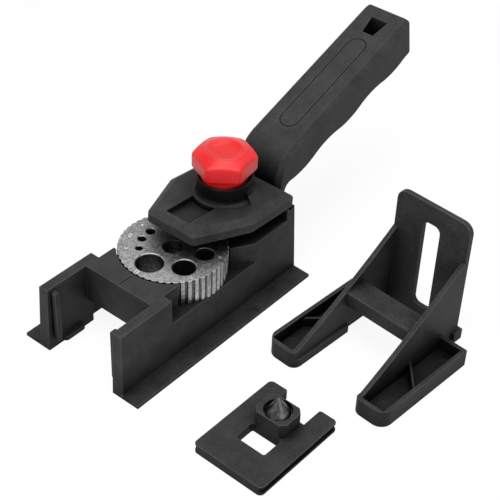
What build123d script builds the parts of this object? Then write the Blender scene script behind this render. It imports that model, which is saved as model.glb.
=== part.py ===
from build123d import *
from math import atan2, cos, degrees, pi, radians, sin, tan
import os

# Self-centring dowelling jig with a turret of drill guides, its edge fence and its centring plate.
# Millimetres, +Z up. While it is modelled the jig points along +X: its open end is at x = 0,
# the handle reaches towards +X, and y = 0 is the plane that the jig centres the drill on.

# ---- clearances
run_gap = 0.05          # radial, between a turning part and its bore
seat_gap = 0.02         # radial, between a part pressed or screwed home and its bore
free_gap = 0.3          # between neighbours that move past each other

# ---- jig body
base_w = 48.0           # across the outer walls at the base
draft = 1.9             # degrees, the outer walls lean in towards the top
wall = 2.8
deck_z = 20.0           # floor of the turret pocket
deck_t = 3.4
leg_h = 32.0
leg_len = 30.5
gap_w = 36.6            # between the two legs
gap_d = 23.0
bridge_len = 16.3       # behind the gap
bridge_z = 13.5         # lower edge of the bridge
flange_w = 8.4
flange_t = 1.6
rail_w = 2.2            # rails that carry the centring plate
rail_z = 1.2
rail_h = 2.3
rail_start = 7.5
rail_end = 19.5
lip_w = 3.9             # hooked lips at the front ends of the legs
lip_len = 4.0
lip_set_back = 0.3
lip_z = 5.2
lip_drop = 1.6          # below the top of the leg
slit_in = 1.2           # the slit behind each lip starts this far inside the gap
slit_w = 2.4
slit_d = 2.6
mark_len = 6.0          # index mark on the bridge
mark_w = 0.7
mark_d = 0.5

# ---- turret (the drill guide disc)
disc_x = 56.0           # its axis, from the open end
disc_r = 23.5
disc_t = 12.3
ring_r = 14.2           # pitch circle of the guide bores
pivot_r = 4.5           # centre hole
guides = [(12.0, 180.0), (10.0, 241.5), (8.0, 293.0), (7.0, 336.0), (6.0, 16.0),
          (5.0, 52.0), (4.0, 84.0), (3.5, 109.0), (3.0, 135.0)]    # bore, place in degrees
guide_chamfer = 0.4
flutes = 48
flute_d = 0.5
flute_share = 0.62      # share of the pitch that a flute takes
drill_room = 1.0        # round the largest guide, through the deck

# ---- turret pivot and detent
pivot_recess = 4.5      # top of the pivot below the top of the turret
shank_r = 3.0
pivot_boss_r = 7.0
pivot_boss_z = 9.0
socket_r = 1.5
socket_d = 3.0
detent_r = 2.0          # ball
detent_at = 25.0        # degrees round the turret
spring_len = 7.0
spring_wire = 0.45
spring_turns = 4
spring_steps = 12       # straight lengths in each turn

# ---- block behind the turret, with the captive nut
block_z = 30.4
block_front = 17.0      # from the turret's axis to the narrow front of the block
block_front_half = 17.0
block_side = 28.5       # from the turret's axis to where the block is full width
bolt_back = 32.4        # from the turret's axis to the clamp bolt
rear_back = 22.2        # from the clamp bolt to the back of the body
rear_wall = 6.2
bolt_r = 4.0
bolt_pitch = 1.25
bolt_hole_gap = 0.6
bolt_end_z = 14.0
nut_flat = 13.0         # across the flats
nut_t = 6.5
nut_roof_z = 27.0
core_half = 19.6        # hollow inside the block
core_left = 3.6         # its left part starts this far behind the bolt

# ---- clamp jaw, hinged at the top of the rear wall
hinge_in = 3.7          # before the back of the body
hinge_z = 36.3
hinge_bead_r = 1.5
hinge_wrap = 0.1
press_gap = 0.15        # rib to turret, clamped
jaw_tilt = 2.6          # degrees, the jaw's slope when it is clamped down
jaw_travel = 2.0        # degrees, from the shown open place to clamped
jaw_front = 2.4         # its front lies this far before the turret's axis
jaw_front_half = 13.0
jaw_shoulder = 26.0     # from its front to its full width
jaw_half = 23.4
jaw_rear_in = 1.4       # before the back of the body
jaw_rear_half = 22.7
jaw_edge_t = 4.1
jaw_bevel_h = 2.1
jaw_bevel_w = 2.9
jaw_corner_r = 3.0
jaw_rear_r = 2.5
jaw_notch_half = 6.5
jaw_notch_d = 2.8
rib_in_r = 18.6
rib_out_r = 22.4
rib_span = 80.0
collar_r = 12.2
collar_h = 7.2          # at the front, above the plate
collar_rise = 3.0       # more at the rear
collar_wall = 1.0
collar_floor = 1.2
collar_flare = 2.0      # round its foot
collar_fairing = 4.2    # flares out from its top, on the rear half
jaw_bolt_room = 0.9

# ---- knob, its bolt and washer
skirt_r = 10.2
skirt_h = 8.6
hex_corner_r = 14.4
hex_h = 6.8             # straight height of its corners
hex_dome_h = 2.3        # cone above them
hex_top_r = 9.2
hex_turn = -52.0        # a corner points this way, in degrees
cap_r = 8.1
cap_t = 2.0
cap_proud = 0.8
cap_dish = 0.4
bolt_head_t = 5.2
bolt_flat = 13.0
washer_r = 8.4
washer_t = 1.6

# ---- handle
grip_slope = 19.5       # degrees
grip_w = 24.8
grip_back = 19.7        # from the body to a point on the middle of the grip's top
grip_z = 58.9           # height of that point
grip_len = 74.5         # level distance from there to the end
grip_end_t = 18.4       # depth at the end, square to the top
grip_end_lean = 11.0    # degrees, the end face leans out towards the bottom
grip_t = 16.0           # mean depth of the waved underside
grip_taper = 0.035
wave_d = 1.0            # finger waves
waves = 5               # half waves
wave_end = 3.175        # they start this far before the grip's end
shoulder_w = 2.0        # sloping edges of the grip's top
shoulder_h = 2.4
grip_corner_r = 3.0
neck_in = 0.2           # its front, before the back of the body
neck_r = 17.0
foot_z = 6.0
foot_t = 4.6
foot_bend_z = 34.5
foot_reach = 5.175      # the underside's last wave ends this far behind the foot
hang_near_half = 3.0    # hanging hole
hang_far_half = 4.4
hang_near = 17.0        # its two ends, before the grip's end
hang_far = 7.8
panel_len = 56.0        # level length of the long groove
panel_end = 20.8        # before the grip's end
panel_half = 4.9
panel_groove_w = 0.6
panel_groove_d = 0.5
screw_r = 2.0
screw_len = 8.5
screw_head_r = 3.6
screw_head_t = 2.4
screw_z = 12.0
screw_y = 7.0

# ---- centring plate
plate_len = 46.8
plate_w = 34.5
plate_t = 4.5
plate_x = -2.0
plate_y = -80.6
plate_turn = -0.7       # degrees
plate_corner = 2.2
window_x = 13.7         # from the closed end
window_len = 10.0
window_w = 14.2
window_corner = 0.8
boss_len = 12.8
boss_w = 15.8
boss_h = 7.4
boss_corner = 2.2
notch_w = 16.4
point_r = 5.9
point_sunk = 1.4        # shoulder of the point below the boss
point_cone_r = 5.3
point_tip_r = 0.5
point_cone_h = 7.5
point_base = 1.2        # plate left under the point

# ---- edge fence
fence_x = 120.1
fence_y = -85.1
fence_turn = -4.1
arm_out = 31.7          # half width across the arms
arm_w = 16.1
arm_len = 62.5
arm_back = 8.4          # the arms stop this far before the upright
arm_h = 8.5
arm_floor = 2.0
arm_rim = 1.9
arm_corner = 5.5
inner_corner = 4.0
arm_rib_at = 0.568      # thin slanted rib across each tray, its middle as a share of the arm's length
arm_rib_t = 1.0
arm_rib_h = 7.0
inner_rail_h = 4.5
inner_rail_end = 28.3
cheek_out = 18.8        # half width across the cheeks
cheek_t = 2.2
cheek_top = 42.0
cheek_nose = 3.5        # the cheeks' noses end this far behind the arms' tips
cheek_sag = 1.4         # of its sloping edge
cheek_recess_h = 4.0    # along the foot of its inner face
upright_h = 61.0
upright_t = 2.4
upright_corner = 5.0
slot_w = 8.6
slot_low = 7.5
slot_top = 51.8
slot_corner = 3.0
bar_near = 19.2         # bar between the cheeks
bar_far = 30.6
bar_top = 23.0
bar_h = 6.8
bar_wall = 2.0
sole_h = 5.3
sole_out = 1.6


def block(x0, x1, y0, y1, z0, z1):
    """A box between two corners."""
    return Pos((x0 + x1) / 2, (y0 + y1) / 2, (z0 + z1) / 2) * Box(x1 - x0, y1 - y0, z1 - z0)


def rod(r, z0, z1, x=0.0, y=0.0):
    """An upright cylinder from z0 to z1."""
    return Pos(x, y, (z0 + z1) / 2) * Cylinder(r, z1 - z0)


def hexagon(flats, height):
    """An upright hexagonal prism from z = 0, by its width across the flats."""
    return extrude(RegularPolygon(flats / 2 / cos(radians(30)), 6), height)


# ---- values that follow from the sizes above
bolt_x = disc_x + bolt_back
body_len = bolt_x + rear_back
slot_end_x = body_len - rear_wall
hinge_x = body_len - hinge_in
grip_x = body_len + grip_back
grip_end_x = grip_x + grip_len
foot_x = body_len + foot_t
wave_x = grip_end_x - wave_end
wave_pitch = 2 * (wave_x - foot_x - foot_reach) / waves
disc_top = deck_z + disc_t
deck_low = deck_z - deck_t
outer_h = hinge_z + 4.0
cavity_end = slot_end_x + wall / 2
inner_half = base_w / 2 - wall
guide_max = max(bore for bore, _ in guides)
gap_half = gap_w / 2
bridge_end = gap_d + bridge_len
pocket_r = disc_r + free_gap
slope = tan(radians(grip_slope))

# heights along the clamp bolt, with the jaw clamped down
plate_top = hinge_z + (hinge_x - bolt_x) * tan(radians(jaw_tilt)) + jaw_edge_t + jaw_bevel_h
collar_seat = plate_top + collar_floor
screw_feed = bolt_pitch                     # one turn of the knob, from the shown place to clamped
washer_z = collar_seat + 2 * run_gap + screw_feed
skirt_z = washer_z + washer_t + run_gap
hex_z = skirt_z + skirt_h
knob_top = hex_z + hex_h + hex_dome_h
cap_seat = knob_top - (cap_t - cap_proud)
bolt_seat = cap_seat - bolt_head_t - run_gap


def swing(angle):
    """The jaw's turn about its hinge: a positive angle lifts the front."""
    return Pos(hinge_x, 0, hinge_z) * Rot(0, angle, 0) * Pos(-hinge_x, 0, -hinge_z)


def both(side_solid):
    """A solid and its mirror image across y = 0."""
    return side_solid + mirror(side_solid, about=Plane.XZ)


def outer_form():
    """The drafted outside of the moulding, before anything is cut away."""
    return extrude(Pos(body_len / 2, 0) * Rectangle(body_len, base_w), outer_h, taper=draft)


def around_turret(angle, radius):
    """A place in the turret's plane, its local X pointing away from the axis."""
    return Pos(disc_x, 0, 0) * Rot(0, 0, angle) * Pos(radius, 0, 0)


# ---- detent, set into the block towards the turret's rim
detent_len = 2 * detent_r + spring_len
detent_place = around_turret(detent_at, disc_r) * Pos(0, 0, deck_z + disc_t / 2) * Rot(0, 90, 0)


def make_jig_body():
    outer = outer_form()
    far = base_w
    low = outer & block(-1, body_len + 1, -far, far, 0, deck_z)
    legs = outer & block(-1, leg_len, -far, far, deck_z - 1, leg_h)
    rear = outer & block(slot_end_x, body_len + 1, -far, far, deck_z - 1, hinge_z - 2 * hinge_wrap)
    front_x = disc_x + block_front
    side_x = disc_x + block_side
    plan = Polyline((front_x, -block_front_half), (side_x, -far / 2), (body_len, -far / 2),
                    (body_len, far / 2), (side_x, far / 2), (front_x, block_front_half), close=True)
    hump = outer & (Pos(0, 0, deck_z - 1) * extrude(make_face(plan), block_z - deck_z + 1))
    body = low + legs + rear + hump

    # open end between the legs, hollow underneath, bridge and its lower lip
    body -= block(-1, gap_d, -gap_half, gap_half, -1, leg_h + 1)
    body -= block(gap_d - 1, cavity_end, -gap_half, gap_half, -1, deck_low)
    body -= block(gap_d + wall, cavity_end, -inner_half, inner_half, -1, deck_low)
    body += block(gap_d, bridge_end, -gap_half, gap_half, deck_low, leg_h)
    body += block(gap_d, gap_d + wall, -gap_half, gap_half, bridge_z, leg_h)

    # flanges, rails for the centring plate, and the front lips with their slits
    flange = block(0, body_len, base_w / 2 - wall, base_w / 2 + flange_w, 0, flange_t)
    flange -= block(gap_d + wall, cavity_end, 0, inner_half, -1, flange_t + 1)
    flange -= block(-1, gap_d, 0, gap_half, -1, flange_t + 1)
    rail = block(rail_start, rail_end, gap_half - rail_w, gap_half + wall / 2, rail_z, rail_z + rail_h)
    rail_tips = rail.edges().filter_by(Axis.Z).group_by(Axis.Y)[0]
    rail = fillet(rail_tips, 0.9 * rail_w)
    lip = block(lip_set_back, lip_len, gap_half - lip_w, gap_half + 1, lip_z, leg_h - lip_drop)
    lip = fillet(lip.edges().filter_by(Axis.X).group_by(Axis.Y)[0].sort_by(Axis.Z)[-1], lip_drop)
    body += both(flange) + both(rail) + both(lip)
    slit_y = gap_half - slit_in
    slit = block(-1, slit_d, slit_y, slit_y + slit_w, lip_z, leg_h - lip_drop)
    body -= both(slit)

    # the block is cored from below, round the nut's tower and the detent
    roof = block_z - wall
    tower_half = nut_flat / 2 + 2 * wall
    core = block(bolt_x + tower_half, cavity_end, -core_half, core_half, deck_low - 1, roof)
    core += block(side_x, cavity_end, -core_half, -tower_half, deck_low - 1, roof)
    core += block(bolt_x + core_left, cavity_end, tower_half, core_half, deck_low - 1, roof)
    body -= core

    # turret pocket and pivot boss
    body -= rod(pocket_r, deck_z, outer_h + 1, disc_x)
    body += rod(pivot_boss_r, pivot_boss_z, deck_low + 1, disc_x)
    body -= rod(shank_r + seat_gap, pivot_boss_z - 1, deck_z + 1, disc_x)
    body -= rod(guide_max / 2 + drill_room, -1, deck_z + 1, disc_x - ring_r)

    # captive nut, clamp bolt and detent
    body -= rod(bolt_r + bolt_hole_gap, 0, block_z + 1, bolt_x)
    body -= Pos(bolt_x, 0, 0) * hexagon(nut_flat + 4 * run_gap, nut_roof_z)
    body -= detent_place * Pos(0, 0, detent_len / 2) * Cylinder(detent_r + 2 * run_gap, detent_len)

    # seat of the jaw's hinge bead, handle screws and index mark
    body -= Pos(hinge_x, 0, hinge_z) * Rot(90, 0, 0) * Cylinder(hinge_bead_r + hinge_wrap, 2 * far)
    for y in (-screw_y, screw_y):
        body -= Pos(body_len, y, screw_z) * Rot(0, 90, 0) * Cylinder(screw_r + run_gap, 6 * wall)
    mark_end = disc_x - pocket_r - mark_len / 4
    body -= block(mark_end - mark_len, mark_end, -mark_w / 2, mark_w / 2, leg_h - mark_d, leg_h + 1)
    return body


def make_drill_disc():
    disc = rod(disc_r, deck_z + run_gap, disc_top, disc_x)
    flute_r = disc_r * radians(360 / flutes) * flute_share / 2
    flute = Rot(0, 0, 22.5) * RegularPolygon(flute_r, 8)
    cutter = Pos(0, 0, deck_z - 1) * extrude(flute, disc_t + 2)
    disc -= [around_turret(360 * (k + 0.5) / flutes, disc_r + flute_r - flute_d) * cutter
             for k in range(flutes)]
    for bore, angle in guides:
        place = around_turret(angle, ring_r) * Pos(0, 0, disc_top)
        disc -= place * Cylinder(bore / 2, 3 * disc_t)
        disc -= place * Pos(0, 0, -guide_chamfer / 2) * Cone(bore / 2, bore / 2 + guide_chamfer,
                                                              guide_chamfer)
    return disc - rod(pivot_r, deck_z - 1, disc_top + 1, disc_x)


def make_disc_pivot():
    top = disc_top - pivot_recess
    pivot = rod(pivot_r - run_gap, deck_z, top, disc_x) + rod(shank_r, pivot_boss_z, deck_z + 1, disc_x)
    pivot = chamfer(pivot.faces().sort_by(Axis.Z)[-1].edges(), guide_chamfer)
    return pivot - Pos(disc_x, 0, top - socket_d) * extrude(RegularPolygon(socket_r, 6), socket_d + 1)


def make_detent_ball():
    return detent_place * Pos(0, 0, detent_r + run_gap) * Sphere(detent_r)


def make_detent_spring():
    """A coil between the ball's back and the bottom of its pocket."""
    coil_r = detent_r - spring_wire / 2 - run_gap
    ball_back = detent_r + run_gap + (detent_r ** 2 - coil_r ** 2) ** 0.5
    start = ball_back + spring_wire / 2 + run_gap
    length = detent_len - start - spring_wire / 2 - run_gap
    steps = spring_steps * spring_turns
    turn = 2 * pi / spring_steps
    path = Polyline(*[(coil_r * cos(k * turn), coil_r * sin(k * turn), length * k / steps)
                      for k in range(steps + 1)])
    wire = Plane(path @ 0, z_dir=path % 0) * RegularPolygon(spring_wire / 2, 6)
    return detent_place * Pos(0, 0, start) * sweep(wire, path, transition=Transition.RIGHT)


def make_captive_nut():
    nut = Pos(bolt_x, 0, nut_roof_z - nut_t - run_gap) * hexagon(nut_flat, nut_t)
    return nut - rod(bolt_r + run_gap, 0, nut_roof_z + 1, bolt_x)


def jaw_outline():
    """Plan of the jaw: a wide rear, and a front that narrows in a trapezium with rounded corners."""
    front_x = disc_x - jaw_front
    side_x = front_x + jaw_shoulder
    rear_x = body_len - jaw_rear_in
    corners = [(side_x, jaw_half), (front_x, jaw_front_half), (front_x, -jaw_front_half), (side_x, -jaw_half)]
    face = make_face(Polyline((rear_x, jaw_rear_half), *corners, (rear_x, -jaw_rear_half), close=True))
    from_front = face.vertices().sort_by(Axis.X)
    return fillet(fillet(from_front[:4], jaw_corner_r).vertices().sort_by(Axis.X)[-2:], jaw_rear_r)


def make_clamp_jaw():
    # the plate lies flat on the hinge's level, is dressed, and is then tilted
    outline = jaw_outline()
    plate_low = hinge_z + hinge_wrap
    edge_top = plate_low + jaw_edge_t
    top = edge_top + jaw_bevel_h
    plate = Pos(0, 0, plate_low) * extrude(outline, jaw_edge_t)
    plate += Pos(0, 0, edge_top) * extrude(outline, jaw_bevel_h,
                                           taper=degrees(atan2(jaw_bevel_w, jaw_bevel_h)))
    plate -= block(disc_x - jaw_front + 1.6 * jaw_bevel_w, bolt_x, -jaw_notch_half, jaw_notch_half,
                   top - jaw_notch_d, top + 1)
    bead_len = 2 * (jaw_rear_half - jaw_rear_r)
    bead = Pos(hinge_x, 0, hinge_z) * Rot(90, 0, 0) * Cylinder(hinge_bead_r, bead_len)
    collar_mid = jaw_edge_t + jaw_bevel_h + collar_h / 2
    collar_x = bolt_x - collar_mid * tan(radians(jaw_tilt))
    plate += Pos(collar_x, 0, top) * make_collar()
    jaw = swing(jaw_tilt) * (plate + bead)

    # pressing rib under the plate, just clear of the turret's rear rim when it is clamped
    jaw += sector(rib_in_r, rib_out_r, rib_span, disc_top + press_gap, plate_low + wall)

    # bore of the collar for the knob's skirt, and the bolt's hole
    jaw -= rod(collar_r - collar_wall, collar_seat, plate_top + collar_h + 2 * collar_rise, bolt_x)
    jaw -= rod(bolt_r + jaw_bolt_room, hinge_z - 1, collar_seat + 1, bolt_x)
    return swing(jaw_travel) * jaw


def make_collar():
    """The collar round the knob's skirt, on the plate's top at z = 0: higher at the rear, with a small
    hollow flare round the front of its foot and a tall one round the rear."""
    high = collar_h + collar_rise
    collar = rod(collar_r, -jaw_bevel_h, high)
    bend = 1 - cos(radians(45))
    for flare, rise, side in ((collar_flare, collar_flare, -1), (collar_fairing, high, 1)):
        reach = collar_r + flare
        hollow = ThreePointArc((reach, 0), (collar_r + bend * flare, bend * rise), (collar_r, rise))
        rest = Polyline((collar_r, rise), (0, rise), (0, -jaw_bevel_h), (reach, -jaw_bevel_h), (reach, 0))
        ring = revolve(Plane.XZ * make_face([hollow, rest]), Axis.Z)
        collar += ring & Pos(side * reach / 2, 0, 0) * Box(reach, 2 * reach, 3 * high)
    slant = degrees(atan2(collar_rise, 2 * collar_r))
    above = Pos(0, 0, collar_h + collar_rise / 2) * Rot(0, -slant, 0)
    return collar - above * block(-jaw_half, jaw_half, -jaw_half, jaw_half, 0, jaw_half)


def sector(r_in, r_out, span, z0, z1):
    """Part of an upright ring round the turret's axis, centred on +X."""
    reach = 2 * r_out
    side = reach * tan(radians(span / 2))
    wedge = extrude(make_face(Polyline((0, 0), (reach, -side), (reach, side), close=True)), z1 - z0)
    return Pos(disc_x, 0, 0) * ((rod(r_out, z0, z1) - rod(r_in, z0, z1)) & (Pos(0, 0, z0) * wedge))


def make_clamp_knob():
    # a hexagon whose top is turned down by a flat cone, which leaves the arcs on its flats
    outside = revolve(Plane.XZ * make_face(Polyline(
        (0, hex_z), (hex_corner_r, hex_z), (hex_corner_r, hex_z + hex_h), (hex_top_r, knob_top),
        (0, knob_top), close=True)), Axis.Z)
    prism = Rot(0, 0, hex_turn) * hexagon(2 * (hex_corner_r - seat_gap) * cos(radians(30)), knob_top + 1)
    knob = (outside & prism) + rod(skirt_r, skirt_z, hex_z + 1)
    knob -= rod(cap_r + seat_gap, cap_seat, knob_top + 1)
    knob -= Pos(0, 0, bolt_seat) * hexagon(bolt_flat + 2 * seat_gap, knob_top - bolt_seat)
    knob -= rod(bolt_r + seat_gap, skirt_z - 1, knob_top)
    return Pos(bolt_x, 0, 0) * knob


def make_knob_cap():
    top = knob_top + cap_proud
    cap = chamfer(rod(cap_r, cap_seat, top, bolt_x).faces().sort_by(Axis.Z)[-1].edges(), cap_dish)
    return cap - rod(cap_r - 3 * cap_dish, top - cap_dish, top + 1, bolt_x)


def make_clamp_bolt():
    shank = chamfer(rod(bolt_r, bolt_end_z, bolt_seat + 1).faces().sort_by(Axis.Z)[0].edges(), bolt_r / 5)
    return Pos(bolt_x, 0, 0) * (shank + Pos(0, 0, bolt_seat) * hexagon(bolt_flat, bolt_head_t))


def make_thrust_washer():
    ring = rod(washer_r, washer_z, washer_z + washer_t, bolt_x)
    return ring - rod(bolt_r + free_gap, washer_z - 1, skirt_z, bolt_x)


def grip_top(x):
    """Height of the middle of the grip's sloping top."""
    return grip_z + (x - grip_x) * slope


def grip_under(x):
    """Height of the waved underside."""
    wave = wave_d * sin(2 * pi * (wave_x - x) / wave_pitch)
    depth = grip_t + grip_taper * (x - grip_x) + wave
    return grip_top(x) - depth / cos(radians(grip_slope))


def make_handle():
    # side outline: seat on the rear wall, neck, straight top, leaning end, waved underside, foot
    neck_x = body_len - neck_in
    centre_x = neck_x + neck_r
    meet_x = centre_x - neck_r * sin(radians(grip_slope))
    centre_z = grip_top(meet_x) - neck_r * cos(radians(grip_slope))
    middle = radians((180 + 90 + grip_slope) / 2)
    arc_mid = (centre_x + neck_r * cos(middle), centre_z + neck_r * sin(middle))
    end_top = (grip_end_x, grip_top(grip_end_x))
    lean = radians(grip_end_lean)
    end_low = (grip_end_x + grip_end_t * sin(lean), end_top[1] - grip_end_t * cos(lean))
    even_x = [wave_x - k * wave_pitch / 2 for k in range(waves + 1)]
    under = [(x, grip_under(x)) for x in even_x]
    last_x, last_z = under[-1]
    bend = 1 - cos(radians(45))
    seat_z = hinge_z - 4 * hinge_wrap
    outline = [
        Polyline((foot_x, foot_bend_z), (foot_x, foot_z), (slot_end_x, foot_z), (slot_end_x, seat_z),
                 (neck_x, seat_z), (neck_x, centre_z)),
        ThreePointArc((neck_x, centre_z), arc_mid, (meet_x, grip_top(meet_x))),
        Polyline((meet_x, grip_top(meet_x)), end_top, end_low, under[0]),
        *[ThreePointArc(start, ((start[0] + end[0]) / 2, grip_under((start[0] + end[0]) / 2)), end)
          for start, end in zip(under, under[1:])],
        ThreePointArc(under[-1], (foot_x + bend * (last_x - foot_x), last_z - bend * (last_z - foot_bend_z)),
                      (foot_x, foot_bend_z)),
    ]
    grip = Pos(0, grip_w / 2, 0) * extrude(Plane.XZ * make_face(outline), grip_w)

    # rounded end corners and sloping shoulders along the top
    edges = grip.edges()
    ends = [edges.sort_by_distance((grip_end_x, y, end_low[1] + grip_end_t / 2))[0]
            for y in (-grip_w / 2, grip_w / 2)]
    grip = fillet(ends, grip_corner_r)
    edges = grip.edges()
    mid_x = (meet_x + grip_end_x) / 2
    tops = [edges.sort_by_distance((mid_x, y, grip_top(mid_x)))[0] for y in (-grip_w / 2, grip_w / 2)]
    top_face = grip.faces().sort_by_distance((mid_x, 0, grip_top(mid_x)))[0]
    grip = chamfer(tops, shoulder_w, shoulder_h, reference=top_face)

    # hanging hole, panel groove, seat on the rear wall, and pilot holes for the screws
    near_x = grip_end_x - hang_near
    far_x = grip_end_x - hang_far
    hole = Polyline((near_x, -hang_near_half), (far_x, -hang_far_half), (far_x, hang_far_half),
                    (near_x, hang_near_half), close=True)
    grip -= extrude(make_face(hole), 2 * end_top[1])
    panel_x = grip_end_x - panel_end - panel_len / 2
    along = panel_len / cos(radians(grip_slope))
    on_top = Pos(panel_x, 0, grip_top(panel_x)) * Rot(0, -grip_slope, 0)
    ring = SlotOverall(along, 2 * panel_half) - SlotOverall(
        along - 2 * panel_groove_w, 2 * (panel_half - panel_groove_w))
    grip -= on_top * Pos(0, 0, -panel_groove_d) * extrude(ring, 2 * panel_groove_d)
    grip -= outer_form() & block(0, body_len, -base_w, base_w, 0, seat_z + 1)
    for y in (-screw_y, screw_y):
        grip -= screw_place(y) * Pos(0, 0, screw_len / 2) * Cylinder(screw_r + seat_gap, screw_len + 1)
    return grip


def screw_place(y):
    """Under the head of a handle screw, on the inside of the rear wall, local Z pointing rearward."""
    return Pos(cavity_end, y, screw_z) * Rot(0, 90, 0)


def make_handle_screws():
    head = Pos(0, 0, -screw_head_t / 2) * Cylinder(screw_head_r, screw_head_t)
    head -= Pos(0, 0, -screw_head_t) * Box(screw_head_r, screw_r / 3, screw_head_t)
    head -= Pos(0, 0, -screw_head_t) * Box(screw_r / 3, screw_head_r, screw_head_t)
    shank = Pos(0, 0, screw_len / 2) * Cylinder(screw_r, screw_len)
    return [screw_place(y) * (head + shank) for y in (-screw_y, screw_y)]


def make_centring_plate():
    half = plate_w / 2
    plate = Pos(plate_len / 2, 0, 0) * extrude(RectangleRounded(plate_len, plate_w, plate_corner), plate_t)
    boss_x = window_x + window_len
    notch_x = boss_x + boss_len
    plate -= block(notch_x, plate_len + 1, -notch_w / 2, notch_w / 2, -1, plate_t + 1)
    inner = [e for e in plate.edges().filter_by(Axis.Z) if e.center().X > plate_len - 0.1]
    plate = fillet(inner, plate_corner / 2)
    web_half = gap_half - rail_w - free_gap
    plate -= both(block(-1, plate_len + 1, web_half, half + 1, rail_z - free_gap, rail_z + rail_h + free_gap))
    shape = chamfer(Rectangle(boss_len, boss_w).vertices(), boss_corner)
    plate += Pos(boss_x + boss_len / 2, 0, 0) * extrude(shape, plate_t + boss_h)
    window = RectangleRounded(window_len, window_w, window_corner)
    plate -= Pos(window_x + window_len / 2, 0, -1) * extrude(window, plate_t + 2)
    plate -= rod(point_r + seat_gap, point_base, plate_t + boss_h + 1, boss_x + boss_len / 2)
    return plate_place * plate


def make_centre_point():
    shoulder_z = plate_t + boss_h - point_sunk
    pin = rod(point_r, point_base, shoulder_z)
    pin += Pos(0, 0, shoulder_z + point_cone_h / 2) * Cone(point_cone_r, point_tip_r, point_cone_h)
    return plate_place * Pos(window_x + window_len + boss_len / 2, 0, 0) * pin


def fence_arm():
    """One tray-shaped arm with its cheek, on the +Y side of the fence's own frame."""
    cheek_in = cheek_out - cheek_t
    inner = arm_out - arm_w
    arm = block(-arm_len, -arm_back, cheek_in, arm_out, 0, arm_h)
    arm -= block(-arm_len + arm_rim, -arm_back - arm_rim, cheek_out, arm_out - arm_rim, arm_floor, arm_h + 1)
    arm += block(-arm_len, -inner_rail_end, inner, cheek_out, 0, inner_rail_h)
    corners = arm.edges().filter_by(Axis.Z).group_by(Axis.X)[0]
    outer_corner = corners.sort_by(Axis.Y)[-1]
    arm = fillet(outer_corner, arm_corner)
    tray_v = (cheek_out + arm_out - arm_rim) / 2
    rib_place = Pos(-arm_rib_at * arm_len, tray_v, arm_rib_h / 2) * Rot(0, 0, 45)
    rib = rib_place * Box(arm_rib_t, 2 * arm_w, arm_rib_h)
    arm += rib & block(-arm_len, 0, cheek_out - cheek_t / 2, arm_out - arm_rim / 2, 0, arm_rib_h)
    nose = (cheek_nose - arm_len, arm_h)
    toe = arm_corner - arm_len
    low_edge = Polyline((0, cheek_top), (0, 0), (toe, 0), (toe, arm_h), nose)
    slope_mid = (nose[0] / 2, (arm_h + cheek_top) / 2 - cheek_sag)
    top_edge = ThreePointArc(nose, slope_mid, (0, cheek_top))
    arm += Pos(0, cheek_out, 0) * extrude(Plane.XZ * make_face([low_edge, top_edge]), cheek_t)
    arm -= block(-inner_rail_end, -sole_out, cheek_in - 1, cheek_in + cheek_t / 2, -1, cheek_recess_h)
    round_x = -arm_len + inner_corner
    round_y = inner + inner_corner
    arm -= (block(-arm_len - 1, round_x, inner - 1, round_y, -1, arm_h + 1)
            - rod(inner_corner, -1, arm_h + 1, round_x, round_y))
    return arm + block(-sole_out, upright_t + sole_out, cheek_in, cheek_out + sole_out, 0, sole_h)


def make_edge_fence():
    half = cheek_out
    face = Pos(0, upright_h / 2) * Rectangle(2 * half, upright_h)
    face = fillet(face.vertices().group_by(Axis.Y)[-1], upright_corner)
    slot = Pos(0, (slot_low + slot_top) / 2) * RectangleRounded(slot_w, slot_top - slot_low, slot_corner)
    upright = extrude(Plane.YZ * (face - slot), upright_t)
    bar = block(-bar_far, -bar_near, -half + cheek_t / 2, half - cheek_t / 2, bar_top - bar_h, bar_top)
    bar -= block(-bar_far + bar_wall, -bar_near - bar_wall, -half + cheek_t, half - cheek_t,
                 0, bar_top - bar_wall)
    return fence_place * (upright + bar + both(fence_arm()))


plate_place = Pos(plate_x, plate_y, 0) * Rot(0, 0, plate_turn)
fence_place = Pos(fence_x, fence_y, 0) * Rot(0, 0, fence_turn)

nodes = {
    "jig_body": make_jig_body(),
    "handle": make_handle(),
    "handle_screws": make_handle_screws(),
    "disc_pivot": make_disc_pivot(),
    "drill_disc": make_drill_disc(),
    "detent_ball": make_detent_ball(),
    "detent_spring": make_detent_spring(),
    "captive_nut": make_captive_nut(),
    "clamp_jaw": make_clamp_jaw(),
    "thrust_washer": make_thrust_washer(),
    "clamp_knob": make_clamp_knob(),
    "clamp_bolt": make_clamp_bolt(),
    "knob_cap": make_knob_cap(),
    "centring_plate": make_centring_plate(),
    "centre_point": make_centre_point(),
    "edge_fence": make_edge_fence(),
}
solids = {name: [s for shape in (made if isinstance(made, list) else [made]) for s in shape.solids()]
          for name, made in nodes.items()}

# the origin is under the middle of the whole set, on the surface that it stands on
box = Compound([s for group in solids.values() for s in group]).bounding_box()
home = Pos(-box.center().X, -box.center().Y, -box.min.Z)

os.makedirs("parts", exist_ok=True)
for name, group in solids.items():
    export_step(home * Compound(group), f"parts/{name}.step")
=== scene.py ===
import math

import bmesh
import bpy
import numpy as np
from mathutils import Matrix, Vector


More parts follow.
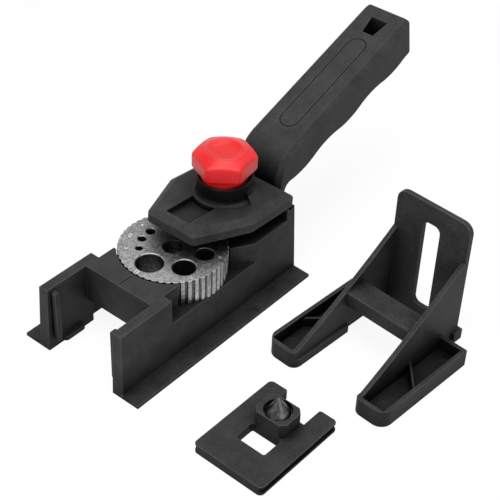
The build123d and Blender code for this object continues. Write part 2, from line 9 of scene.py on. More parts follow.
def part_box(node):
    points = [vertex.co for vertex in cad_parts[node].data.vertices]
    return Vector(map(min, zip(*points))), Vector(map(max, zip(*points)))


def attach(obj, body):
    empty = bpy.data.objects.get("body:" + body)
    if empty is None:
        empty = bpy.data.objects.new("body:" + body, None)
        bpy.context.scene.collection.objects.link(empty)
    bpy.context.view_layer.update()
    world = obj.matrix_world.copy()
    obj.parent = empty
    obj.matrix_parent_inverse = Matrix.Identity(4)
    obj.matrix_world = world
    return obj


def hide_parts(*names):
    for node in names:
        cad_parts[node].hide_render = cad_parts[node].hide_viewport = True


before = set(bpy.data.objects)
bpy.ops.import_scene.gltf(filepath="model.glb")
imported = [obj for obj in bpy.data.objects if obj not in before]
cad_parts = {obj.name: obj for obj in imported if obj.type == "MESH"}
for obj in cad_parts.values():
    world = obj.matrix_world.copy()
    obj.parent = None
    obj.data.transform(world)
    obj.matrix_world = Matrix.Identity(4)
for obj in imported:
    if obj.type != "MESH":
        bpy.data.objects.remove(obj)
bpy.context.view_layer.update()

# ---------------------------------------------------------------- jig body
# The base of the jig: a hollow moulding in black glass-filled nylon, with two legs that straddle
# the board, a round pocket for the turret and a block behind it that holds the clamp's nut.
# Like every moulding of the set it leaves its tool with a fine matt grain and softened edges.
MM = 0.001
BODY_EDGE = 0.2 * MM            # radius left on the edges by the mould
EDGE_SHINE = 0.5 * MM           # how far the highlight along an edge reaches
PATCHES_PER_METRE = 90.0
SPECKS_PER_METRE = 900.0
PATCH_SHARE, SPECK_SHARE = 0.65, 0.35
NOISE_LOW, NOISE_HIGH = 0.32, 0.68
EDGE_WORN_AND_PAINTED_HIGHLIGHT = 0.55                   # how far an outer edge goes to its paler colour, partly worn and partly painted highlight
PAINTED_CREASE_SHADE = 0.06             # painted shade: what is left of the colour deep in a recess
WELD = 1e-6                     # metres, between corners that are one
SLIVER = 2e-6                   # metres, width of the faces that are dropped
SHARP_EDGE = math.radians(32)   # edges that turn further than this get a radius
SHADED_EDGE = math.radians(50)  # and those that still do after it stay crisp


def fed(tree, node, inputs):
    """The node, with each input set to a value or joined to another node's output."""
    for socket, value in inputs.items():
        if isinstance(value, bpy.types.NodeSocket):
            tree.links.new(value, node.inputs[socket])
        else:
            node.inputs[socket].default_value = value
    return node


def placed(tree, kind, inputs, **settings):
    """A new node of the kind, with its settings made and its inputs fed."""
    node = tree.nodes.new("ShaderNode" + kind)
    for setting, value in settings.items():
        setattr(node, setting, value)
    return fed(tree, node, inputs)


def plastic_grain():
    """A node group for moulded plastic: a fine grain for Bump, and slow changes of colour and gloss,
    which are a share of wide patches and a share of specks, spread to the range from 0 to 1."""
    group = bpy.data.node_groups.new("plastic_grain", "ShaderNodeTree")
    for label, kind, way in (("Dark", "Color", "INPUT"), ("Light", "Color", "INPUT"),
                             ("Grain per metre", "Float", "INPUT"), ("Smooth", "Float", "INPUT"),
                             ("Rough", "Float", "INPUT"), ("Colour", "Color", "OUTPUT"),
                             ("Roughness", "Float", "OUTPUT"), ("Height", "Float", "OUTPUT")):
        group.interface.new_socket(name=label, in_out=way, socket_type="NodeSocket" + kind)
    given, out = group.nodes.new("NodeGroupInput"), group.nodes.new("NodeGroupOutput")
    place = placed(group, "TexCoord", {}).outputs["Object"]
    grain = placed(group, "TexNoise", {"Vector": place, "Scale": given.outputs["Grain per metre"],
                                       "Detail": 3.0})
    patches = placed(group, "TexNoise", {"Vector": place, "Scale": PATCHES_PER_METRE, "Detail": 7.0,
                                         "Roughness": 0.65})
    specks = placed(group, "TexNoise", {"Vector": place, "Scale": SPECKS_PER_METRE})
    wide = placed(group, "Math", {0: patches.outputs["Fac"], 1: PATCH_SHARE}, operation="MULTIPLY")
    both = placed(group, "Math", {0: specks.outputs["Fac"], 1: SPECK_SHARE, 2: wide.outputs[0]},
                  operation="MULTIPLY_ADD")
    spread = placed(group, "MapRange", {"Value": both.outputs[0], "From Min": NOISE_LOW,
                                        "From Max": NOISE_HIGH})
    mix = placed(group, "Mix", {"Factor": spread.outputs["Result"], "A": given.outputs["Dark"],
                                "B": given.outputs["Light"]}, data_type="RGBA")
    gloss = placed(group, "MapRange", {"Value": spread.outputs["Result"], "To Min": given.outputs["Smooth"],
                                       "To Max": given.outputs["Rough"]})
    fed(group, out, {"Colour": mix.outputs["Result"], "Roughness": gloss.outputs["Result"],
                     "Height": grain.outputs["Fac"]})
    return group


def edge_paling_and_painted_shade():
    """A node group: Edge rises to 1 along outer edges, which are made paler, partly as worn edges and partly
    as painted highlight; the second output rises to 1 in corners and recesses as painted shade, each from the
    share of short rays that the surface itself stops."""
    group = bpy.data.node_groups.new("edge_paling_and_painted_shade", "ShaderNodeTree")
    given, out = group.nodes.new("NodeGroupInput"), group.nodes.new("NodeGroupOutput")
    # the second mask reaches 18 mm, so its painted shade darkens corners, recesses and faces under other
    # pieces
    for label, reach, inside, full in (("Edge", 0.5 * MM, True, 0.6), ("Painted shade", 18 * MM, False, 0.35)):
        length = label + " reach"
        group.interface.new_socket(name=length, in_out="INPUT",
                                   socket_type="NodeSocketFloat").default_value = reach
        group.interface.new_socket(name=label, in_out="OUTPUT", socket_type="NodeSocketFloat")
        free = placed(group, "AmbientOcclusion", {"Distance": given.outputs[length]},
                      samples=4, inside=inside, only_local=inside)
        mask = placed(group, "MapRange", {"Value": free.outputs["AO"], "From Min": 0.96, "From Max": full})
        fed(group, out, {label: mask.outputs["Result"]})
    return group


PLASTIC_GRAIN = plastic_grain()
EDGE_PALING_AND_PAINTED_SHADE = edge_paling_and_painted_shade()


def with_painted_shade(tree, colour, edge_and_shade_masks, shade):
    """The colour with painted shade: it falls to the share shade of itself deep in a recess and under other
    pieces.
    """
    return placed(tree, "Mix", {"Factor": edge_and_shade_masks.outputs["Painted shade"], "A": colour, "B": (shade, shade, shade, 1)},
                  data_type="RGBA", blend_type="MULTIPLY").outputs["Result"]


def grained_plastic(name, dark, light, edge_worn_and_painted_highlight, smooth, rough, depth, grain, specular, painted_shade=PAINTED_CREASE_SHADE):
    """A moulded plastic: the grain group feeds colour, roughness and bump of one shader, and the
    colour is paler on outer edges, partly worn and partly painted highlight, and has painted shade in corners
    and recesses."""
    made = bpy.data.materials.new(name)
    made.use_nodes = True
    tree = made.node_tree
    grains = placed(tree, "Group", {"Dark": (*dark, 1), "Light": (*light, 1), "Grain per metre": grain,
                                    "Smooth": smooth, "Rough": rough}, node_tree=PLASTIC_GRAIN)
    edge_and_shade_masks = placed(tree, "Group", {}, node_tree=EDGE_PALING_AND_PAINTED_SHADE)
    # paler outer edges: partly worn, partly painted highlight
    edge_paling_share = placed(tree, "Math", {0: edge_and_shade_masks.outputs["Edge"], 1: EDGE_WORN_AND_PAINTED_HIGHLIGHT}, operation="MULTIPLY")
    edged = placed(tree, "Mix", {"Factor": edge_paling_share.outputs[0], "A": grains.outputs["Colour"],
                                 "B": (*edge_worn_and_painted_highlight, 1)}, data_type="RGBA")
    edges = placed(tree, "Bevel", {"Radius": EDGE_SHINE}, samples=6)
    bump = placed(tree, "Bump", {"Strength": 0.6, "Distance": depth, "Height": grains.outputs["Height"],
                                 "Normal": edges.outputs["Normal"]})
    # the base colour carries painted shade in corners, recesses and under other pieces
    fed(tree, tree.nodes["Principled BSDF"], {
        "Specular IOR Level": specular,
        "Base Color": with_painted_shade(tree, edged.outputs["Result"], edge_and_shade_masks, painted_shade),
        "Roughness": grains.outputs["Roughness"], "Normal": bump.outputs["Normal"]})
    return made


def softened(node, name, edge, body, material, adjust=None):
    """A copy of a part with a real radius along its sharp edges, in place of the sharp one. Where
    adjust is given, it moves the copy's corners first."""
    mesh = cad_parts[node].data.copy()
    work = bmesh.new()
    work.from_mesh(mesh)
    if adjust:
        for corner in work.verts:
            adjust(corner.co)
    bmesh.ops.remove_doubles(work, verts=work.verts, dist=WELD)
    bmesh.ops.dissolve_degenerate(work, dist=SLIVER, edges=work.edges)
    sharp = [e for e in work.edges if e.is_manifold and e.calc_face_angle() > SHARP_EDGE]
    bmesh.ops.bevel(work, geom=sharp, offset=edge, offset_type="OFFSET", segments=2, profile=0.5,
                    affect="EDGES", clamp_overlap=False, miter_outer="SHARP", miter_inner="SHARP")
    work.to_mesh(mesh)
    work.free()
    mesh.name = name
    mesh.materials.clear()
    mesh.materials.append(material)
    mesh.shade_smooth()
    mesh.set_sharp_from_angle(angle=SHADED_EDGE)
    piece = bpy.data.objects.new(name, mesh)
    bpy.context.scene.collection.objects.link(piece)
    normals = piece.modifiers.new("flat faces stay flat", "WEIGHTED_NORMAL")
    normals.keep_sharp = True
    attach(piece, body)
    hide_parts(node)
    return piece


# Painted shade darkens this colour in corners and under other pieces, and its paler outer edges are partly
# worn and partly painted highlight.
BLACK = grained_plastic("black_moulding", (0.016, 0.016, 0.0165), (0.043, 0.043, 0.0435), (0.11, 0.11, 0.112),
                        smooth=0.44, rough=0.62, depth=0.00012, grain=1500.0, specular=0.07)
body_low, body_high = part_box("jig_body")
middle_y = (body_low.y + body_high.y) / 2
# In mm, from the legs' ends back or from the middle line out: where a corner is, and where it goes.
LIP_BACK = ((0.3, 2.7), (2.6, 3.6), (4.0, 5.2))
LEG_BACK = ((0.0, 0.0), (1.1, 1.1), (2.6, 3.6), (4.0, 5.2))
LIP_SIDE = ((14.4, 15.4), (17.1, 17.4), (18.3, 18.3), (19.5, 18.3))
LIP_REACH = 4.1
LIP_BETWEEN = (14.3, 19.55)
LIP_HEIGHTS = (5.1, 30.5)
LEG_FACE = 18.2


def reseat_lips(point):
    """The hooked lips between the legs stand 2.7 mm back from the legs' ends and 2.9 mm into the gap:
    the corners of the copied lips go there, each coordinate by a broken line."""
    ahead = (point.x - body_low.x) / MM
    side = (point.y - middle_y) / MM
    at_lip = LIP_BETWEEN[0] < abs(side) < LIP_BETWEEN[1] and LIP_HEIGHTS[0] < point.z / MM < LIP_HEIGHTS[1]
    if ahead < LIP_REACH and at_lip:
        steps = LIP_BACK if abs(side) < LEG_FACE else LEG_BACK
        point.x = body_low.x + np.interp(ahead, *zip(*steps)) * MM
        point.y = middle_y + math.copysign(np.interp(abs(side), *zip(*LIP_SIDE)) * MM, side)


softened("jig_body", "jig_base", BODY_EDGE, "jig", BLACK, reseat_lips)

# ---------------------------------------------------------------- handle
# The grip: a black moulding with finger waves underneath, a sunk panel on top and a hole to hang it by.
# Its grain is a little coarser than the base's, and two screws hold it to the base's rear wall.
# As on the base, painted shade darkens the grip's corners, and its paler edges are partly painted highlight.
GRIP = grained_plastic("grip_moulding", (0.017, 0.017, 0.0175), (0.042, 0.042, 0.0425), (0.11, 0.11, 0.112),
                       smooth=0.48, rough=0.64, depth=0.00014, grain=1300.0, specular=0.09)
softened("handle", "grip_handle", BODY_EDGE, "jig", GRIP)

# ---------------------------------------------------------------- steel fittings
# Small steel parts in the base and the clamp: the handle's screws, the clamp's bolt, nut and washer,
# and the ball and spring that click into the turret's rim, all zinc plated; the turret's pivot is
# blackened. The shapes are the CAD model's own.


def rubbed_steel(name, dark, light, smooth, rough, scale, depth, painted_shade=1.0):
    """Steel with a worked surface: two noises give the colour, the gloss and the bump, and where
    the shade share is under 1 the colour falls to that share of it as painted shade in recesses and under
    other pieces."""
    made = bpy.data.materials.new(name)
    made.use_nodes = True
    tree = made.node_tree
    place = placed(tree, "TexCoord", {}).outputs["Object"]
    cloud = placed(tree, "TexNoise", {"Vector": place, "Scale": scale, "Detail": 6.0, "Roughness": 0.7})
    pits = placed(tree, "TexNoise", {"Vector": place, "Scale": 5 * scale, "Detail": 2.0})
    ramp = placed(tree, "ValToRGB", {"Fac": cloud.outputs["Fac"]})
    for stop, position, tone in zip(ramp.color_ramp.elements, (0.36, 0.64), (dark, light)):
        stop.position = position
        stop.color = (*tone, 1)
    colour = ramp.outputs["Color"]
    # painted shade in recesses and under other pieces
    if painted_shade < 1:
        edge_and_shade_masks = placed(tree, "Group", {}, node_tree=EDGE_PALING_AND_PAINTED_SHADE)
        colour = with_painted_shade(tree, colour, edge_and_shade_masks, painted_shade)
    gloss = placed(tree, "MapRange", {"Value": cloud.outputs["Fac"], "From Min": 0.3, "From Max": 0.7,
                                      "To Min": smooth, "To Max": rough})
    bump = placed(tree, "Bump", {"Strength": 0.5, "Distance": depth, "Height": pits.outputs["Fac"]})
    fed(tree, tree.nodes["Principled BSDF"], {
        "Metallic": 1.0, "Base Color": colour, "Roughness": gloss.outputs["Result"],
        "Normal": bump.outputs["Normal"]})
    return made


ZINC = rubbed_steel("zinc_plate", (0.38, 0.38, 0.39), (0.6, 0.6, 0.61),
                    smooth=0.28, rough=0.42, scale=400.0, depth=0.00002)
BLACKENED = rubbed_steel("blackened_steel", (0.035, 0.035, 0.037), (0.1, 0.1, 0.103),
                         smooth=0.24, rough=0.4, scale=500.0, depth=0.00002)
for fitting, finish in (("handle_screws", ZINC), ("captive_nut", ZINC), ("detent_ball", ZINC),
                        ("detent_spring", ZINC), ("thrust_washer", ZINC), ("clamp_bolt", ZINC),
                        ("disc_pivot", BLACKENED)):
    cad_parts[fitting].data.materials.clear()
    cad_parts[fitting].data.materials.append(finish)

# ---------------------------------------------------------------- turret
# The drill guide disc: a thick steel disc with nine guide bores on one circle, a fluted rim for the
# thumb, and the size of each bore in plain figures beside it. Its top is blasted to a fine grain, with
# painted shade under the jaw; the rim is paler steel as painted highlight with painted shade in its flutes,
# and the bore walls are painted dark as shade.
GUIDES = [(12.0, 180.0), (10.0, 241.5), (8.0, 293.0), (7.0, 336.0), (6.0, 16.0),
          (5.0, 52.0), (4.0, 84.0), (3.5, 109.0), (3.0, 135.0)]     # bore in mm, place in degrees
GUIDE_CIRCLE = 14.2 * MM
DISC_EDGE = 0.12 * MM
FLUTE_DEPTH = 0.5 * MM
FLUTE_SHADE = 0.12              # painted shade: what is left of the steel's colour at the bottom of a flute
FIGURE_HEIGHT = 2.2 * MM
FIGURE_RELIEF = 0.1 * MM
STEEP_FACE = 0.4                # faces whose normal rises less than this are walls
disc_low, disc_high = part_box("drill_disc")
disc_axis = (disc_low + disc_high) / 2
disc_radius = (disc_high.x - disc_low.x) / 2
# the top's colour carries painted shade in recesses and under the jaw
DISC = rubbed_steel("blasted_disc_steel", (0.13, 0.13, 0.132), (0.36, 0.36, 0.362),
                    smooth=0.36, rough=0.55, scale=1100.0, depth=0.00005, painted_shade=0.15)
# a dark steel for the bore walls: painted shade, where the deep holes fall dark
BORE_WALLS_PAINTED_SHADE = rubbed_steel("bore_walls_painted_shade", (0.03, 0.03, 0.031), (0.085, 0.085, 0.087),
                     smooth=0.3, rough=0.45, scale=700.0, depth=0.00003)
FIGURES = rubbed_steel("raised_figures", (0.75, 0.75, 0.75), (0.95, 0.95, 0.95),
                       smooth=0.3, rough=0.45, scale=900.0, depth=0.00003)


def rim_steel_painted_light():
    """The rim's steel, paler than the top as painted highlight: its colour goes from painted shade in the
    flutes to bright on the ridges, by d = sqrt((x - x0)^2 + (y - y0)^2), the distance from the disc's axis."""
    # a paler steel as painted highlight on the ridges, with painted shade in recesses
    made = rubbed_steel("rim_painted_highlight_and_shade", (0.24, 0.24, 0.242), (0.6, 0.6, 0.602),
                        smooth=0.26, rough=0.42, scale=900.0, depth=0.00003, painted_shade=0.3)
    tree = made.node_tree
    shader = tree.nodes["Principled BSDF"]
    place = placed(tree, "TexCoord", {}).outputs["Object"]
    flat = placed(tree, "VectorMath", {0: place, 1: (1, 1, 0), 2: (-disc_axis.x, -disc_axis.y, 0)},
                  operation="MULTIPLY_ADD")
    away = placed(tree, "VectorMath", {0: flat.outputs["Vector"]}, operation="LENGTH")
    ridge = placed(tree, "MapRange", {"Value": away.outputs["Value"], "From Min": disc_radius - FLUTE_DEPTH,
                                      "From Max": disc_radius - 0.1 * FLUTE_DEPTH, "To Min": FLUTE_SHADE})
    plain = shader.inputs["Base Color"].links[0].from_socket
    shaded = placed(tree, "Mix", {"Factor": 1.0, "A": plain, "B": ridge.outputs["Result"]},
                    data_type="RGBA", blend_type="MULTIPLY")
    fed(tree, shader, {"Base Color": shaded.outputs["Result"]})
    return made


turret = softened("drill_disc", "guide_disc", DISC_EDGE, "turret", DISC)
turret.data.materials.append(rim_steel_painted_light())
turret.data.materials.append(BORE_WALLS_PAINTED_SHADE)
# steep faces: rim walls get the painted highlight and flute shade, bore walls the painted shade
for face in turret.data.polygons:
    from_axis = math.hypot(face.center.x - disc_axis.x, face.center.y - disc_axis.y)
    if abs(face.normal.z) < STEEP_FACE:
        face.material_index = 1 if from_axis > disc_radius - 2 * FLUTE_DEPTH else 2


def size_figures():
    """The sizes as raised figures, each between its bore and the rim, read from the rim's side."""
    work = bmesh.new()
    for bore, angle in GUIDES:
        curve = bpy.data.curves.new("figure", "FONT")
        curve.body = f"{bore:g}"
        curve.size = FIGURE_HEIGHT
        curve.extrude = FIGURE_RELIEF / 2
        curve.align_x = curve.align_y = "CENTER"
        figure = bpy.data.objects.new("figure", curve)
        bpy.context.scene.collection.objects.link(figure)
        bpy.context.view_layer.update()
        flat = bpy.data.meshes.new_from_object(figure.evaluated_get(bpy.context.evaluated_depsgraph_get()))
        away = (GUIDE_CIRCLE + bore / 2 * MM + disc_radius) / 2
        turn = Matrix.Rotation(math.radians(angle), 4, "Z")
        upright = Matrix.Rotation(math.radians(90), 4, "Z")
        seat = Matrix.Translation((disc_axis.x, disc_axis.y, disc_high.z + FIGURE_RELIEF / 2))
        flat.transform(seat @ turn @ Matrix.Translation((away, 0, 0)) @ upright)
        work.from_mesh(flat)
        bpy.data.objects.remove(figure)
    bmesh.ops.remove_doubles(work, verts=work.verts, dist=WELD)
    mesh = bpy.data.meshes.new("size_figures")
    work.to_mesh(mesh)
    work.free()
    mesh.materials.append(FIGURES)
    piece = bpy.data.objects.new("size_figures", mesh)
    bpy.context.scene.collection.objects.link(piece)
    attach(piece, "turret")


size_figures()

# ---------------------------------------------------------------- clamp jaw
# The jaw: a black plate with bevelled edges, hinged at the base's rear wall and pressed down on the
# turret by the knob. Its collar is painted darker, as the knob's shadow under its skirt.
# a darker black for the collar: the knob's shadow, painted
COLLAR_PAINTED_SHADOW = grained_plastic("collar_painted_shadow", (0.004, 0.004, 0.0042), (0.009, 0.009, 0.0092),
                         (0.03, 0.03, 0.031), smooth=0.4, rough=0.52, depth=0.00004, grain=2600.0,
                         specular=0.05)
COLLAR_REACH = 13.4 * MM        # from the clamp's axis
COLLAR_FOOT = 2.2 * MM          # under the knob's lower edge, where the painted shadow starts
LEVEL_FACE = 0.9                # faces whose normal rises more than this lie flat
knob_low, knob_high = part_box("clamp_knob")
cap_low, cap_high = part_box("knob_cap")
knob_x, knob_y = (cap_low.x + cap_high.x) / 2, (cap_low.y + cap_high.y) / 2
jaw = softened("clamp_jaw", "top_jaw", BODY_EDGE, "jaw", BLACK)
jaw.data.materials.append(COLLAR_PAINTED_SHADOW)
# the collar's faces under the knob get the painted shadow
for face in jaw.data.polygons:
    near_axis = math.hypot(face.center.x - knob_x, face.center.y - knob_y) < COLLAR_REACH
    if near_axis and face.center.z > knob_low.z - COLLAR_FOOT and face.normal.z < LEVEL_FACE:
        face.material_index = 1

# ---------------------------------------------------------------- knob and cap
# The clamp's knob: a hexagon on a round skirt, moulded in glossy red plastic round the bolt's head,
# with a dished round cap pressed into its top. All of its edges are well rounded.
# The red carries painted shade in its corners, and its paler edges are partly worn and partly painted
# highlight.
RED = grained_plastic("red_moulding", (0.52, 0.008, 0.01), (0.66, 0.018, 0.02), (0.8, 0.12, 0.13),
                      smooth=0.27, rough=0.4, depth=0.00004, grain=1100.0, specular=0.26, painted_shade=0.6)
STEPS_ROUND = 180
CORNER_STEPS = 5
CORNER_SHARE = 0.45             # of the shorter line beside a corner, which its rounding may take
TINY = 1e-9
CRISP_EDGE = math.radians(45)
around = np.linspace(0, 2 * np.pi, STEPS_ROUND, endpoint=False)


def rounded_path(rows):
    """Meridians round the axis, from rows of distance, height and corner radius, each distance or height
    one number or one for each direction. A corner P with neighbours A and B becomes the curve
    (1-t)^2 (P + r a) + 2 t (1-t) P + t^2 (P + r b), with a and b the unit steps to A and B."""
    corners = [np.stack([np.broadcast_to(part, around.shape) for part in row[:2]], -1) for row in rows]
    points = []
    share = np.linspace(0, 1, CORNER_STEPS)[:, None, None]
    for k, (_, _, radius) in enumerate(rows):
        here = corners[k]
        if radius == 0:
            points.append(here[None])
            continue
        back = corners[k - 1] - here
        ahead = corners[(k + 1) % len(corners)] - here
        back_len = np.linalg.norm(back, axis=-1, keepdims=True)
        ahead_len = np.linalg.norm(ahead, axis=-1, keepdims=True)
        reach = np.minimum(radius, CORNER_SHARE * np.minimum(back_len, ahead_len))
        start = here + back / np.maximum(back_len, TINY) * reach
        end = here + ahead / np.maximum(ahead_len, TINY) * reach
        points.append((1 - share) ** 2 * start + 2 * share * (1 - share) * here + share ** 2 * end)
    return np.concatenate(points)


def turned(name, path, body, material, replaced, closed):
    """A ring of meridians: path[k, j] is (distance from the axis, height) of station k in direction
    j, so that the point is (x0 + d cos a, y0 + d sin a, z). An open path starts and ends on the axis."""
    distance, height = path[..., 0], path[..., 1]
    grid = np.stack([knob_x + distance * np.cos(around), knob_y + distance * np.sin(around), height], -1)
    rows, columns = grid.shape[:2]
    if closed:
        points = grid.reshape(-1, 3)
        row = np.arange(rows)
        next_row = (row + 1) % rows
    else:
        rows -= 2
        points = np.concatenate([grid[1:-1].reshape(-1, 3), grid[:1, 0], grid[-1:, 0]])
        row = np.arange(rows - 1)
        next_row = row + 1
    column = np.arange(columns)
    next_column = (column + 1) % columns
    corners = [row[:, None] * columns + column, row[:, None] * columns + next_column,
               next_row[:, None] * columns + next_column, next_row[:, None] * columns + column]
    faces = np.stack(corners, -1).reshape(-1, 4).tolist()
    if not closed:
        low, high = len(points) - 2, len(points) - 1
        last = (rows - 1) * columns
        faces += np.stack([next_column, column, np.full(columns, low)], -1).tolist()
        faces += np.stack([last + column, last + next_column, np.full(columns, high)], -1).tolist()
    mesh = bpy.data.meshes.new(name)
    mesh.from_pydata(points.tolist(), [], faces)
    mesh.update()
    mesh.materials.append(material)
    mesh.shade_smooth()
    mesh.set_sharp_from_angle(angle=CRISP_EDGE)
    piece = bpy.data.objects.new(name, mesh)
    bpy.context.scene.collection.objects.link(piece)
    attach(piece, body)
    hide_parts(replaced)


HEX_CORNER = 14.4 * MM
HEX_HIGH = 6.8 * MM
HEX_TURN = math.radians(-52.0)
PLANE_SHARE = 26                # the higher, the sharper the six upright corners
SKIRT = 10.2 * MM
DOME_RISE = 2.3 * MM
DOME_RIM = 9.2 * MM
CREST = 0.45 * MM               # of the ring round the cap, above the dome
CREST_WIDTH = 0.5 * MM
CAP_GAP = 0.02 * MM
BOLT_ROOM = 4.02 * MM           # radius of the hole for the bolt's shank
HEAD_ROOM = 7.6 * MM            # radius of the pocket for its head
HEAD_TALL = 5.2 * MM
cap_edge = cap_high.x - knob_x
crest_top = knob_high.z + CREST
bolt_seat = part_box("clamp_bolt")[1].z - HEAD_TALL
dome_foot = knob_high.z - DOME_RISE         # height of the hexagon's corners at the dome
knob_under = dome_foot - HEX_HIGH
# The hexagon's distance from the axis: F / (sum of cos(a - n)^p)^(1/p) over its six normals n.
hexagon_flat = HEX_CORNER * math.cos(math.radians(30))
hexagon_normals = HEX_TURN + math.radians(30) + np.arange(6)[:, None] * math.radians(60)
facing = np.clip(np.cos(around[None] - hexagon_normals), 0, None)
to_side = hexagon_flat / (facing ** PLANE_SHARE).sum(0) ** (1 / PLANE_SHARE)
to_side = np.minimum(to_side, HEX_CORNER)
dome_slope = DOME_RISE / (HEX_CORNER - DOME_RIM)
side_top = dome_foot + (HEX_CORNER - to_side) * dome_slope
knob_path = rounded_path([
    (BOLT_ROOM, knob_low.z, 0),
    (SKIRT, knob_low.z, 0.5 * MM),
    (SKIRT, knob_under, 1.2 * MM),
    (to_side, knob_under, 1.1 * MM),
    (to_side, side_top, 1.1 * MM),
    (DOME_RIM, knob_high.z, 0.6 * MM),
    (cap_edge + CREST_WIDTH, crest_top, 0.4 * MM),
    (cap_edge + CAP_GAP, crest_top, 0.08 * MM),
    (cap_edge + CAP_GAP, cap_low.z, 0),
    (HEAD_ROOM, cap_low.z, 0),
    (HEAD_ROOM, bolt_seat, 0),
    (BOLT_ROOM, bolt_seat, 0)])
turned("red_knob", knob_path, "knob", RED, "clamp_knob", closed=True)

DISH_DEPTH = 1.15 * MM
CAP_CREST, DISH_FOOT = 0.93, 0.64           # shares of the cap's radius
dish_floor = cap_high.z - DISH_DEPTH
cap_path = rounded_path([
    (0, cap_low.z, 0),
    (cap_edge, cap_low.z, 0.2 * MM),
    (cap_edge, crest_top, 0.08 * MM),
    (CAP_CREST * cap_edge, cap_high.z, 0.9 * MM),
    (DISH_FOOT * cap_edge, dish_floor, 1.6 * MM),
    (0, dish_floor, 0)])
turned("dished_cap", cap_path, "knob", RED, "knob_cap", closed=False)

# ---------------------------------------------------------------- edge stop
# The loose edge stop: one black moulding of two tray-shaped arms, two cheeks, a slotted upright and a
# bar between them. It lies beside the jig, and the pins that pushed it out of its mould left faint rings.
softened("edge_fence", "edge_stop", BODY_EDGE, "jig", BLACK)
MARK_RADIUS = 3.3 * MM
MARK_STEPS = 48
MARK_PROFILE = ((0.5, 0.06), (0.84, 0.12), (0.93, 0.26), (1.0, 0.2), (1.03, -1.6))    # share of R, and mm up
MARK_MIDDLE = 0.04 * MM
PIN_PLACES = ((65.3, -106.0, 2.0), (69.5, -54.9, 2.0),
              (101.8, -110.6, 2.0), (92.5, -97.0, 23.0))    # mm: back from the legs' ends, out, and up


def pin_marks():
    """The shallow rings that the mould's ejector pins leave: each is a profile of (r, h) turned about
    its own axis, so that a point is (x + r R cos a, y + r R sin a, z + h), closed below by one point."""
    turn = np.linspace(0, 2 * np.pi, MARK_STEPS, endpoint=False)
    share, height = (np.array(part)[:, None] for part in zip(*MARK_PROFILE))
    ring = np.stack([share * MARK_RADIUS * np.cos(turn), share * MARK_RADIUS * np.sin(turn),
                     height * MM + 0 * turn], -1).reshape(-1, 3)
    one = np.concatenate([ring, [(0, 0, MARK_MIDDLE), (0, 0, MARK_PROFILE[-1][1] * MM)]])
    seats = np.array([(body_low.x + x * MM, middle_y + y * MM, z * MM) for x, y, z in PIN_PLACES])
    points = (seats[:, None] + one[None]).reshape(-1, 3)
    rows = len(MARK_PROFILE)
    here = np.arange(MARK_STEPS)
    beside = (here + 1) % MARK_STEPS
    row = np.arange(rows - 1)[:, None] * MARK_STEPS
    sides = np.stack([row + here, row + MARK_STEPS + here, row + MARK_STEPS + beside, row + beside],
                     -1).reshape(-1, 4)
    middle = np.full(MARK_STEPS, rows * MARK_STEPS)
    last = (rows - 1) * MARK_STEPS
    top = np.stack([middle, here, beside], -1)
    bottom = np.stack([middle + 1, last + beside, last + here], -1)
    faces = [corner for k in range(len(PIN_PLACES)) for part in (sides, top, bottom)
             for corner in (part + k * len(one)).tolist()]
    mesh = bpy.data.meshes.new("pin_marks")
    mesh.from_pydata(points.tolist(), [], faces)
    mesh.update()
    mesh.materials.append(BLACK)
    mesh.shade_smooth()
    piece = bpy.data.objects.new("pin_marks", mesh)
    bpy.context.scene.collection.objects.link(piece)
    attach(piece, "jig")


pin_marks()

# ---------------------------------------------------------------- centring plate and its point
# The loose centring plate: a black moulding with a groove along both sides, which slides in on the
# rails between the legs, and a blackened steel point pressed into its boss.
POINT_EDGE = 0.08 * MM
softened("centring_plate", "centring_slide", BODY_EDGE, "jig", BLACK)
softened("centre_point", "marking_point", POINT_EDGE, "jig", BLACKENED)

# ---------------------------------------------------------------- stage, lights and camera
# A white sweep of paper under soft lamps, seen as the set was photographed. The camera was solved from
# the photograph's edges, and metal and gloss mirror the same white background that the camera sees.
CAMERA_AZIMUTH = math.radians(-51.48)
CAMERA_ELEVATION = math.radians(39.137)
CAMERA_ROLL = math.radians(2.407)
CAMERA_FROM_DISC = Vector((-0.31644, -0.29336, 0.38243))       # from the turret's axis, and above the floor
FOCAL_LENGTH = 94.96
SENSOR_WIDTH = 36.0
back = Vector((math.sin(CAMERA_AZIMUTH) * math.cos(CAMERA_ELEVATION),
               -math.cos(CAMERA_AZIMUTH) * math.cos(CAMERA_ELEVATION), math.sin(CAMERA_ELEVATION)))
level = Vector((0, 0, 1)).cross(back).normalized()
rise = back.cross(level)
right = level * math.cos(CAMERA_ROLL) + rise * math.sin(CAMERA_ROLL)
upward = rise * math.cos(CAMERA_ROLL) - level * math.sin(CAMERA_ROLL)
view = bpy.data.cameras.new("camera")
view.sensor_width = SENSOR_WIDTH
view.lens = FOCAL_LENGTH
view.clip_start, view.clip_end = 0.01, 20.0
camera = bpy.data.objects.new("camera", view)
camera.matrix_world = Matrix.LocRotScale(
    Vector((disc_axis.x, disc_axis.y, 0)) + CAMERA_FROM_DISC,
    Matrix((right, upward, back)).transposed(), None)
bpy.context.scene.collection.objects.link(camera)
bpy.context.scene.camera = camera


def seen_or_mirrored(tree):
    """1 for a ray from the camera, or one that a shiny or clear surface sends on, else 0."""
    ray = placed(tree, "LightPath", {})
    found = ray.outputs["Is Camera Ray"]
    for kind in ("Is Glossy Ray", "Is Transmission Ray"):
        found = placed(tree, "Math", {0: found, 1: ray.outputs[kind]}, operation="MAXIMUM").outputs[0]
    return found


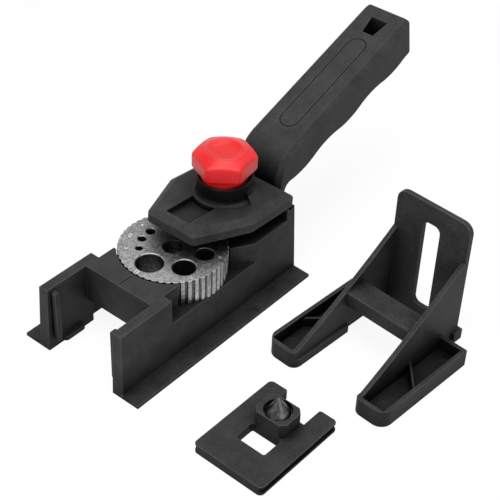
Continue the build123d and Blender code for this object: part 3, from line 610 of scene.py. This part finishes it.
FLOOR_REACH = 8.0
PAPER_SHOWN_WHITE = 0.9         # the rest of the paper's look is its own, which keeps the shadows
floor_mesh = bpy.data.meshes.new("floor")
floor_mesh.from_pydata([(-FLOOR_REACH, -FLOOR_REACH, 0), (FLOOR_REACH, -FLOOR_REACH, 0),
                        (FLOOR_REACH, FLOOR_REACH, 0), (-FLOOR_REACH, FLOOR_REACH, 0)], [], [(0, 1, 2, 3)])
floor = bpy.data.objects.new("floor", floor_mesh)
bpy.context.scene.collection.objects.link(floor)
paper = bpy.data.materials.new("white_paper")
paper.use_nodes = True
tree = paper.node_tree
matt = fed(tree, tree.nodes["Principled BSDF"], {"Base Color": (0.9, 0.9, 0.9, 1), "Roughness": 0.9})
white = placed(tree, "Emission", {"Color": (1, 1, 1, 1), "Strength": 1.0})
amount = placed(tree, "Math", {0: seen_or_mirrored(tree), 1: PAPER_SHOWN_WHITE}, operation="MULTIPLY")
shade = placed(tree, "MixShader", {"Fac": amount.outputs[0], 1: matt.outputs["BSDF"],
                                   2: white.outputs["Emission"]})
fed(tree, tree.nodes["Material Output"], {"Surface": shade.outputs["Shader"]})
floor_mesh.materials.append(paper)

ROOM_LIGHT = 0.12
sky = bpy.data.worlds.new("studio")
sky.use_nodes = True
bpy.context.scene.world = sky
tree = sky.node_tree
room = fed(tree, tree.nodes["Background"], {"Color": (1, 1, 1, 1), "Strength": ROOM_LIGHT})
backdrop = placed(tree, "Background", {"Color": (1, 1, 1, 1), "Strength": 1.0})
choose = placed(tree, "MixShader", {"Fac": seen_or_mirrored(tree), 1: room.outputs["Background"],
                                    2: backdrop.outputs["Background"]})
fed(tree, tree.nodes["World Output"], {"Surface": choose.outputs["Shader"]})

for label, place, size, watts in (("over", (-0.15, -0.1, 0.9), 0.7, 7.6),
                                  ("left", (-0.9, 0.35, 0.7), 0.6, 1.3),
                                  ("front", (-0.2, -0.9, 0.45), 0.6, 2.9),
                                  ("legs", (-0.32, 0.0, 0.3), 0.2, 0.5),
                                  ("grip", (0.22, 0.1, 0.45), 0.25, 0.5)):
    lamp = bpy.data.lights.new(label, "AREA")
    lamp.shape = "SQUARE"
    lamp.size = size
    lamp.energy = watts
    light = bpy.data.objects.new(label, lamp)
    light.location = place
    light.rotation_euler = (-Vector(place)).to_track_quat("-Z", "Y").to_euler()
    bpy.context.scene.collection.objects.link(light)
bpy.context.scene.view_settings.view_transform = "Standard"
